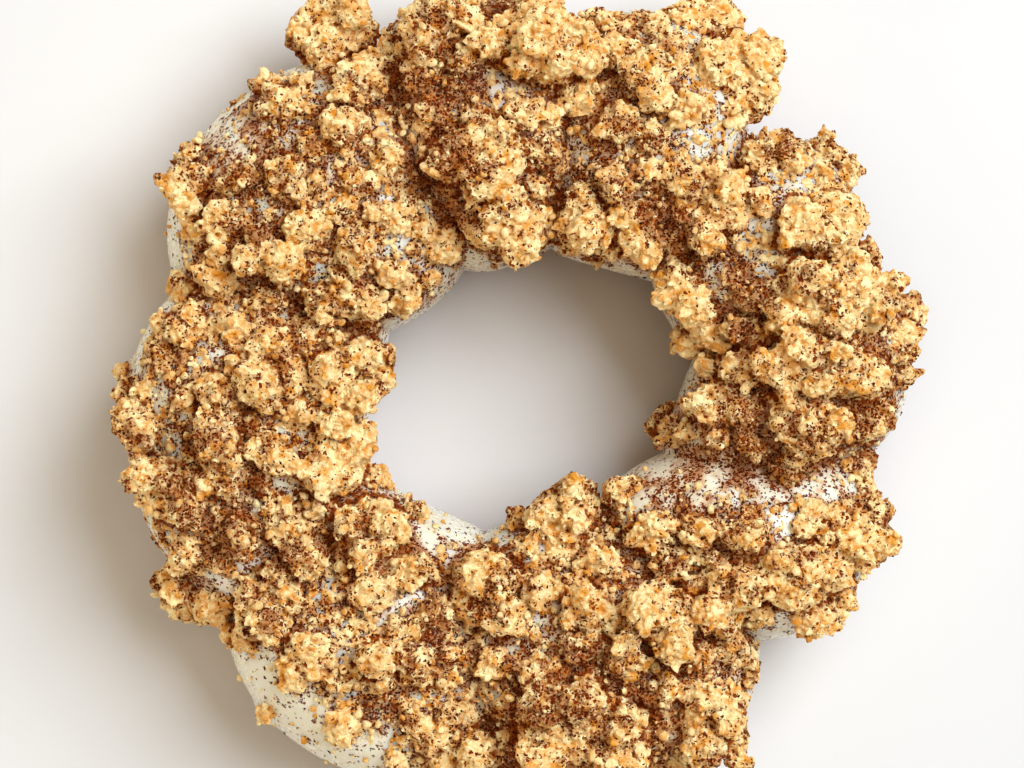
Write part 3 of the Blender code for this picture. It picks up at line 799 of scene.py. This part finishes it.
draw = np.random.default_rng(CRUMBLE_SEED)
icing_surface = BVHTree.FromPolygons(icing_points.tolist(), icing_faces.tolist())
icing_level = levels_seen(icing_surface, ICING_MAP_PITCH)
solid_points, solid_faces = read_solid(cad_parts["icing_crumble"].data)
middles, normals, areas = face_frames(solid_points, solid_faces)
point_normals = np.zeros_like(solid_points)
for corner in range(3):
    np.add.at(point_normals, solid_faces[:, corner], normals * areas[:, None])
point_normals /= np.linalg.norm(point_normals, axis=1, keepdims=True)
sink = np.where(heights_over(icing_surface, solid_points) > FLUSH, CORE_SINK, 0.0)
core = make_piece("core", solid_points - point_normals * sink[:, None], solid_faces)
standing = heights_over(icing_surface, middles)
level_with = (standing <= PROUD) & (standing > FLUSH)
facing_up = np.clip((normals[:, 2] - COVER_TILT) / COVER_TILT_RANGE, 0, 1)
bare = np.clip(patches_over(middles, BARE_PATCHES), 0, 1)
covered = COVER * level_with * facing_up * (1 - bare)
rim_places = KDTree(len(rims))
for index, place in enumerate(rims.tolist()):
    rim_places.insert(place, index)
rim_places.balance()


def by_rim(places):
    """Whether places lie by one of the icing's rims."""
    return np.array([rim_places.find(place)[2] < RIM_REACH for place in places.tolist()])


off_rim = (standing > RIM_PROUD) | ~by_rim(middles)
weights = areas * off_rim * ((standing > PROUD) + covered)

grains = []
for low, high, levels, spacing, deep in GRAIN_KINDS:
    count = int(weights.sum() / spacing ** 2)
    places, face = spread_over(solid_points, solid_faces, weights, count, draw)
    radius = low + (high - low) * draw.random(count) ** MOSTLY_SMALL
    deeper = draw.uniform(0, GRAIN_DEEPER, count)
    sunk = radius * (deep + deeper - COVER_RISE * level_with[face])
    places = places - normals[face] * sunk[:, None]
    sizes = radius[:, None] * draw.uniform(1 - GRAIN_STRETCH, 1 + GRAIN_STRETCH, (count, 3))
    shapes = [ball(levels, key, GRAIN_LUMPS) for key in range(GRAIN_SHAPES)]
    grains.append((shapes, places, turned_about(normals[face], draw), sizes))

quarters = []
for number, start in enumerate(QUARTER_CUTS):
    name = f"crumble_quarter_{number + 1}"
    end = (*QUARTER_CUTS, QUARTER_CUTS[0] + 360)[number + 1]
    wedge = wedge_between(start, end)
    quarter = bpy.data.objects.new(name, core.data)
    bpy.context.scene.collection.objects.link(quarter)
    cut = quarter.modifiers.new("cut", "BOOLEAN")
    cut.operation, cut.solver, cut.object = "INTERSECT", "MANIFOLD", wedge
    keep_result(quarter)
    bpy.data.objects.remove(wedge)
    points, triangles = read_solid(quarter.data)
    bpy.data.objects.remove(quarter)
    points, triangles = [points], [triangles]
    for shapes, places, rotations, sizes in grains:
        turn = bearing_of(places)
        mine = (turn >= start - QUARTER_CUTS[0]) & (turn < end - QUARTER_CUTS[0])
        more_points, more_triangles = scatter(shapes, places[mine], rotations[mine], sizes[mine])
        triangles.append(more_triangles + sum(len(part) for part in points))
        points.append(more_points)
    quarter = make_piece(name, np.concatenate(points), np.concatenate(triangles))
    fuse = quarter.modifiers.new("fuse", "REMESH")
    fuse.mode, fuse.voxel_size = "VOXEL", VOXEL
    keep_result(quarter)
    places, _ = read_points(quarter.data)
    hidden = places[:, 2] < icing_level[map_cells(places, icing_level)] - HIDDEN_DEPTH
    quarter.vertex_groups.new(name="hidden").add(np.flatnonzero(hidden).tolist(), 1.0, "REPLACE")
    merge = quarter.modifiers.new("merge_hidden", "DECIMATE")
    merge.ratio = 1 - HIDDEN_MERGED * hidden.mean()
    merge.vertex_group, merge.vertex_group_factor = "hidden", HIDDEN_FIRST
    keep_result(quarter)
    quarter.vertex_groups.clear()
    quarter.data.calc_loop_triangles()
    merge = quarter.modifiers.new("merge", "DECIMATE")
    merge.ratio = min(1, QUARTER_FACES / len(quarter.data.loop_triangles))
    keep_result(quarter)
    places, facing = read_points(quarter.data)
    grit = sum(deep * lattice_noise(places, pitch, GRIT_KEY) for deep, pitch in GRIT)
    places = places + facing * grit[:, None]
    for index in np.flatnonzero(by_rim(places)):
        near, outward, _, far = icing_surface.find_nearest(places[index])
        if far < RIM_PROUD:
            places[index] = near - outward * RIM_TUCK
    places = np.clip(places, cad_low, cad_high)
    quarter.data.vertices.foreach_set("co", places.astype(np.float32).ravel())
    quarter.data.update()
    quarter.data.shade_flat()
    quarters.append(quarter)
bpy.data.objects.remove(core)

surfaces = [read_points(quarter.data)[0] for quarter in quarters]
side = int(2 * MAP_HALF / MAP_PITCH) + 1
crumble_level = np.full((side, side), EMPTY)
for places in (*surfaces, icing_points):
    np.maximum.at(crumble_level, map_cells(places, crumble_level), places[:, 2])
around_levels = [(*blurred(crumble_level, reach), deep, share) for reach, deep, share in HOLLOWS]

centres = np.concatenate([places for _, places, _, _ in grains])
shade = draw.random(len(centres))
nearest = KDTree(len(centres))
for index, place in enumerate(centres.tolist()):
    nearest.insert(place, index)
nearest.balance()


def hollow_at(places):
    """How far places lie in a hollow of the heap, from -1 on a peak to 1 in a pit."""
    hollow = np.zeros(len(places))
    for levels, enclosed, deep, share in around_levels:
        cell = map_cells(places, levels)
        hollow += share * enclosed[cell] * np.clip((levels[cell] - places[:, 2]) / deep, -1, 1)
    return hollow


def is_open(places):
    """Whether places lie open to what is shaken over the heap."""
    return places[:, 2] > crumble_level[map_cells(places, crumble_level)] - SEEN_DEPTH


def dress(piece, places, dusted):
    """Give a piece of crumble its hollows, its grains' shades and its share of the dust, which
    holds painted shade in the hollows and painted light on the peaks too.
    """
    hollow = np.where(is_open(places), hollow_at(places), 0)
    give(piece, "hollow", hollow)
    give(piece, "shade", shade[[nearest.find(place)[1] for place in places.tolist()]])
    # Painted shade: more dust darkens the hollows, and less dust lightens the peaks
    moved_dust_and_shade = np.where(hollow > 0, DUST_AND_SHADE_IN_HOLLOWS, DUST_AND_SHADE_OFF_PEAKS) * hollow
    dust_and_shade = np.clip(dust_and_shade_over(places) + moved_dust_and_shade, 0, 1)
    give(piece, "dust_and_shade", dusted * np.where(is_open(places), dust_and_shade, DUST_BELOW * dust_and_shade))


# Baked butter crumble: a dry, pale golden crumb that light sinks into a little, browner
# where the oven caught it and where cinnamon has settled, with hardly any gloss. Its hollows
# are browned too, which is painted shade.
CRUMB_PALE = "#ffecb4"
CRUMB_GOLD = "#dd9633"
CRUMB_TOASTED_AND_SHADED = "#8a3804"
CRUMB_GRAIN = 0.22 * MM
CRUMB_DEPTH = 0.2 * MM
SHADE_TO_GOLD = 0.5            # how much each grain's own shade adds to its gold
GRAIN_TO_GOLD = 0.6            # and how much the crumb's grain does
GOLD_SPAN = (0.8, 1.35)        # where the gold starts and is fullest
TOAST_PITCH = 1.6 * MM
HOLLOW_TO_PAINTED_SHADE = 0.9          # how much browner it is in a hollow: painted shade
TOAST_AND_SHADE_SPAN = (0.60, 1.02)
TOAST_AND_SHADE_MOST = 0.92
CRUMB_FILM = (0.70, 0.74)      # where the film of dust starts, and its fullest cover
CRUMB_ROUGHNESS = (0.5, 0.8)

crumb, tree, shader, place = new_finish("baked_butter_crumble")
shade_of = add(tree, "ShaderNodeAttribute", attribute_name="shade").outputs["Fac"]
hollow_of = add(tree, "ShaderNodeAttribute", attribute_name="hollow").outputs["Fac"]
toast = add(tree, "ShaderNodeTexNoise", {"Vector": place, "Scale": 1 / TOAST_PITCH, "Detail": 3.0})
grain = add(tree, "ShaderNodeTexNoise", {"Vector": place, "Scale": 1 / CRUMB_GRAIN, "Detail": 3.0})
mixed = add(
    tree, "ShaderNodeMath",
    {0: shade_of, 1: SHADE_TO_GOLD, 2: toast.outputs["Fac"]}, operation="MULTIPLY_ADD",
)
mixed = add(
    tree, "ShaderNodeMath",
    {0: grain.outputs["Fac"], 1: GRAIN_TO_GOLD, 2: mixed.outputs["Value"]}, operation="MULTIPLY_ADD",
)
golden = add(
    tree, "ShaderNodeMapRange",
    {"Value": mixed.outputs["Value"], "From Min": GOLD_SPAN[0], "From Max": GOLD_SPAN[1]},
)
body = add(
    tree, "ShaderNodeMix",
    {0: golden.outputs["Result"], 6: linear(CRUMB_PALE), 7: linear(CRUMB_GOLD)}, data_type="RGBA",
)
# Painted shade: hollows push the crumb towards toasted brown, on top of the noise's real toasting
deep = add(
    tree, "ShaderNodeMath",
    {0: hollow_of, 1: HOLLOW_TO_PAINTED_SHADE, 2: toast.outputs["Fac"]}, operation="MULTIPLY_ADD",
)
browned_and_shaded = add(
    tree, "ShaderNodeMapRange",
    {"Value": deep.outputs["Value"], "From Min": TOAST_AND_SHADE_SPAN[0], "From Max": TOAST_AND_SHADE_SPAN[1],
     "To Max": TOAST_AND_SHADE_MOST},
)
body = add(
    tree, "ShaderNodeMix",
    {0: browned_and_shaded.outputs["Result"], 6: body.outputs[2], 7: linear(CRUMB_TOASTED_AND_SHADED)}, data_type="RGBA",
)
coloured = cinnamon_over(tree, place, body.outputs[2], *CRUMB_FILM)
bump = add(
    tree, "ShaderNodeBump",
    {"Height": grain.outputs["Fac"], "Strength": 1.0, "Distance": CRUMB_DEPTH},
)
rough = add(
    tree, "ShaderNodeMapRange",
    {"Value": grain.outputs["Fac"], "To Min": CRUMB_ROUGHNESS[0], "To Max": CRUMB_ROUGHNESS[1]},
)
tree.links.new(coloured, shader.inputs["Base Color"])
tree.links.new(bump.outputs["Normal"], shader.inputs["Normal"])
tree.links.new(rough.outputs["Result"], shader.inputs["Roughness"])
shader.inputs["IOR"].default_value = 1.45
shader.inputs["Specular IOR Level"].default_value = 0.1
shader.inputs["Subsurface Weight"].default_value = 0.12
shader.inputs["Subsurface Radius"].default_value = (1.0, 0.55, 0.25)
shader.inputs["Subsurface Scale"].default_value = 0.5 * MM

for quarter, places in zip(quarters, surfaces):
    dress(quarter, places, 1.0)
    quarter.data.materials.clear()
    quarter.data.materials.append(crumb)
    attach(quarter, "root")
    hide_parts("icing_crumble")

# The dust that the icing keeps, now that the heap on it is known
ICING_DUST = 0.05
HOLLOW_TO_ICING = 1.3          # how much more gathers at the foot of the clumps
DUST_ON_WALLS = 0.2            # the share that stays on an upright wall
DUST_BY_TILT = 1.1             # and how fast that grows as it turns to face up
icing_facing = read_points(icing.data)[1][:, 2]
held = np.clip(DUST_ON_WALLS + DUST_BY_TILT * icing_facing, 0, 1)
gathered = HOLLOW_TO_ICING * np.clip(hollow_at(icing_points), 0, 1)
give(icing, "dust_and_shade", np.clip((dust_and_shade_over(icing_points) + ICING_DUST + gathered) * held, 0, 1))


# Loose crumbs. Single grains of the same baked crumble that broke off as it was handled,
# and lie on the heap and the icing. They are lumpy balls, most of them small.

LOOSE_KINDS = (                # number, smallest and largest radius, fineness
    (450, 0.34 * MM, 0.60 * MM, 2),
    (1500, 0.16 * MM, 0.34 * MM, 1),
)
LOOSE_SINK = 0.35              # how deep they sit, as a share of the radius
LOOSE_DUSTED = 0.4             # how much of the dust stays on them
LOOSE_STRETCH = 0.25
LOOSE_ABOVE = 13.0 * MM        # the lowest level at which they lie
LOOSE_DEPTH = 0.5 * MM         # how far under the top of the heap they fall
LOOSE_SHAPES = 40              # the number of their first shape


def triangles_of(piece):
    """A piece's points and its triangles."""
    mesh = piece.data
    mesh.calc_loop_triangles()
    corners = np.empty(len(mesh.loop_triangles) * 3, dtype=np.int64)
    mesh.loop_triangles.foreach_get("vertices", corners)
    return read_points(mesh)[0], corners.reshape(-1, 3)


every_points, every_faces, start = [], [], 0
for piece in (icing, *quarters):
    points, triangles = triangles_of(piece)
    every_points.append(points)
    every_faces.append(triangles + start)
    start += len(points)
every_points, every_faces = np.concatenate(every_points), np.concatenate(every_faces)
middles, normals, areas = face_frames(every_points, every_faces)
open_above = middles[:, 2] > crumble_level[map_cells(middles, crumble_level)] - LOOSE_DEPTH
shown = areas * np.clip(normals[:, 2], 0, 1) * open_above

pieces, start = [[], []], 0
weights = shown * (middles[:, 2] > LOOSE_ABOVE)
for count, low, high, levels in LOOSE_KINDS:
    places, face = spread_over(every_points, every_faces, weights, count, draw)
    radius = low + (high - low) * draw.random(count) ** MOSTLY_SMALL
    places = places + normals[face] * (radius * (1 - LOOSE_SINK))[:, None]
    sizes = radius[:, None] * draw.uniform(1 - LOOSE_STRETCH, 1 + LOOSE_STRETCH, (count, 3))
    shapes = [ball(levels, LOOSE_SHAPES + key, GRAIN_LUMPS) for key in range(GRAIN_SHAPES)]
    points, triangles = scatter(shapes, places, turned_about(normals[face], draw), sizes)
    pieces[0].append(points)
    pieces[1].append(triangles + start)
    start += len(points)
points = np.clip(np.concatenate(pieces[0]), cad_low, cad_high)
loose = make_piece("loose_crumbs", points, np.concatenate(pieces[1]))
dress(loose, points, LOOSE_DUSTED)
loose.data.materials.append(crumb)
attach(loose, "root")


# Ground cinnamon, shaken over everything last. Thin dark chips of dried bark, a few tenths
# of a millimetre long, that lie flat on what faces up, thickest where the dust is, and so also
# where the dust holds painted shade. Each is a ragged outline closed by a low peak over it
# and one under it.

CHIPS = 24000
CHIP_HALF_LENGTH = (0.12 * MM, 0.31 * MM)
CHIP_SMALL = 1.5               # the power that makes most of them small
CHIP_SIDES = 4
CHIP_UNEVEN = 0.3              # how far a corner strays round the chip, and up or down
CHIP_CORNER = (0.6, 1.2)       # how far out its corners are
CHIP_PEAK = 0.1                # how far its peaks are off the middle
CHIP_WIDTH = (0.3, 0.8)        # shares of its length
CHIP_THICKNESS = (0.2, 0.45)
CHIP_LEAN = 0.25
CHIP_RISE = 0.5                # how far it stands off, as a share of its thickness
CHIP_STRAYS = 0.15             # chips that fall where there is no dust
CHIP_BARK = "#2e0d03"
CHIP_RED = "#8c3706"
RED_SPAN = (0.2, 1.2)
FIBRE_PITCH = 0.12 * MM
FIBRE_TO_RED = 0.4             # how much a chip's fibres add to its redness


def chip(sides):
    """The points and triangles of a thin chip with a ragged outline."""
    strays = draw.uniform(-CHIP_UNEVEN, CHIP_UNEVEN, sides)
    turn = 2 * np.pi * (np.arange(sides) + strays) / sides
    out = draw.uniform(*CHIP_CORNER, sides)
    level = draw.uniform(-CHIP_UNEVEN, CHIP_UNEVEN, sides)
    rim = np.stack((out * np.cos(turn), out * np.sin(turn), level), -1)
    points = np.concatenate((rim, ((CHIP_PEAK, 0, 1), (0, CHIP_PEAK, -1))))
    side = np.arange(sides)
    after = (side + 1) % sides
    top = np.stack((side, after, np.full(sides, sides)), -1)
    bottom = np.stack((after, side, np.full(sides, sides + 1)), -1)
    return points, np.concatenate((top, bottom))


dust_and_shade_here = np.concatenate([
    np.array([value.value for value in piece.data.attributes["dust_and_shade"].data])
    for piece in (icing, *quarters)
])
dust_and_shade_here = dust_and_shade_here[every_faces].mean(axis=1)
# Chips crowd where the dust is, painted shade included, which darkens the crevices further
weights = shown * (CHIP_STRAYS + dust_and_shade_here)
places, face = spread_over(every_points, every_faces, weights, CHIPS, draw)
low, high = CHIP_HALF_LENGTH
half = low + (high - low) * draw.random(CHIPS) ** CHIP_SMALL
lean = normals[face] + draw.normal(0, CHIP_LEAN, (CHIPS, 3))
lean /= np.linalg.norm(lean, axis=1, keepdims=True)
wide = half * draw.uniform(*CHIP_WIDTH, CHIPS)
thick = half * draw.uniform(*CHIP_THICKNESS, CHIPS)
places = places + normals[face] * (thick * CHIP_RISE)[:, None]
shapes = [chip(CHIP_SIDES) for _ in range(GRAIN_SHAPES)]
sizes = np.stack((half, wide, thick), -1)
points, triangles = scatter(shapes, places, turned_about(lean, draw), sizes)
chips = make_piece("cinnamon_chips", np.clip(points, cad_low, cad_high), triangles)
chips.data.shade_flat()
give(chips, "shade", np.repeat(draw.random(CHIPS), len(shapes[0][0])))

# Dried cinnamon bark, ground: dull, from dark brown to a rusty red, each chip its own.
bark, tree, shader, place = new_finish("ground_cinnamon_bark")
each = add(tree, "ShaderNodeAttribute", attribute_name="shade").outputs["Fac"]
fibre = add(tree, "ShaderNodeTexNoise", {"Vector": place, "Scale": 1 / FIBRE_PITCH, "Detail": 2.0})
both = add(
    tree, "ShaderNodeMath",
    {0: fibre.outputs["Fac"], 1: FIBRE_TO_RED, 2: each}, operation="MULTIPLY_ADD",
)
redness = add(
    tree, "ShaderNodeMapRange",
    {"Value": both.outputs["Value"], "From Min": RED_SPAN[0], "From Max": RED_SPAN[1]},
)
body = add(
    tree, "ShaderNodeMix",
    {0: redness.outputs["Result"], 6: linear(CHIP_BARK), 7: linear(CHIP_RED)}, data_type="RGBA",
)
tree.links.new(body.outputs[2], shader.inputs["Base Color"])
shader.inputs["Roughness"].default_value = 0.75
shader.inputs["Specular IOR Level"].default_value = 0.05
chips.data.materials.append(bark)

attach(chips, "root")


# The table, the light and the camera. A pale table top with matt paint, lit by a large soft
# window at the upper right and by what comes back from the room, and seen from straight
# above, as in the picture.

SCALE = 8600.0                 # pixels of the picture to a metre
RING_AT = (520, 396)           # pixel of the ring's middle, before it is centred
PICTURE = (1024, 768)
CAMERA_HEIGHT = 0.62           # over the middle of the ring's height
CAMERA_LEVEL = 0.014
SENSOR = 36.0
TABLE_HALF = 3.0
TABLE_WHITE = "#dadbdc"
TABLE_SHADE = "#d7d8d9"
TABLE_PITCH = 40.0 * MM
WARM = (1.0, 0.86, 0.66)       # daylight off the room's walls
LAMPS = (                      # name, place, size, power, colour
    ("window", (0.766, 0.478, 1.198), 1.1, 33.5, (0.90, 0.95, 1.0)),
    ("ceiling", (0.0, 0.05, 1.5), 0.9, 4.6, (1.0, 0.80, 0.56)),
    ("wall_on_the_left", (-1.221, 0.705, 0.513), 0.9, 8.6, WARM),
    ("wall_in_front", (-0.482, -1.325, 0.513), 0.9, 9.3, WARM),
)
ROOM_STRENGTH = 0.03

corners = [(x * TABLE_HALF, y * TABLE_HALF, 0.0) for x, y in ((-1, -1), (1, -1), (1, 1), (-1, 1))]
floor = make_piece("table", np.array(corners), np.array(((0, 1, 2, 3),)))

# Matt white paint on a table top: even and pale, with hardly a shade of difference in it.
paint, tree, shader, place = new_finish("matt_white_table")
faint = add(tree, "ShaderNodeTexNoise", {"Vector": place, "Scale": 1 / TABLE_PITCH, "Detail": 2.0})
body = add(
    tree, "ShaderNodeMix",
    {0: faint.outputs["Fac"], 6: linear(TABLE_SHADE), 7: linear(TABLE_WHITE)}, data_type="RGBA",
)
tree.links.new(body.outputs[2], shader.inputs["Base Color"])
shader.inputs["Roughness"].default_value = 0.5
floor.data.materials.append(paint)

for name, place, size, power, colour in LAMPS:
    light = bpy.data.lights.new(name, "AREA")
    light.size, light.energy, light.color = size, power, colour
    holder = bpy.data.objects.new(name, light)
    holder.location = place
    holder.rotation_euler = (-Vector(place)).to_track_quat("-Z", "Y").to_euler()
    bpy.context.scene.collection.objects.link(holder)
world = bpy.data.worlds.new("studio")
bpy.context.scene.world = world
world.use_nodes = True
room = world.node_tree.nodes["Background"]
room.inputs["Color"].default_value = (*WARM, 1.0)
room.inputs["Strength"].default_value = ROOM_STRENGTH
bpy.context.scene.view_settings.view_transform = "Standard"

camera = bpy.data.cameras.new("camera")
camera.sensor_width = SENSOR
camera.lens = SCALE * CAMERA_HEIGHT * SENSOR / PICTURE[0]
viewer = bpy.data.objects.new("camera", camera)
viewer.location = (
    SHIFT[0] + (PICTURE[0] / 2 - RING_AT[0]) / SCALE,
    SHIFT[1] + (RING_AT[1] - PICTURE[1] / 2) / SCALE,
    CAMERA_LEVEL + CAMERA_HEIGHT,
)
bpy.context.scene.collection.objects.link(viewer)
bpy.context.scene.camera = viewer
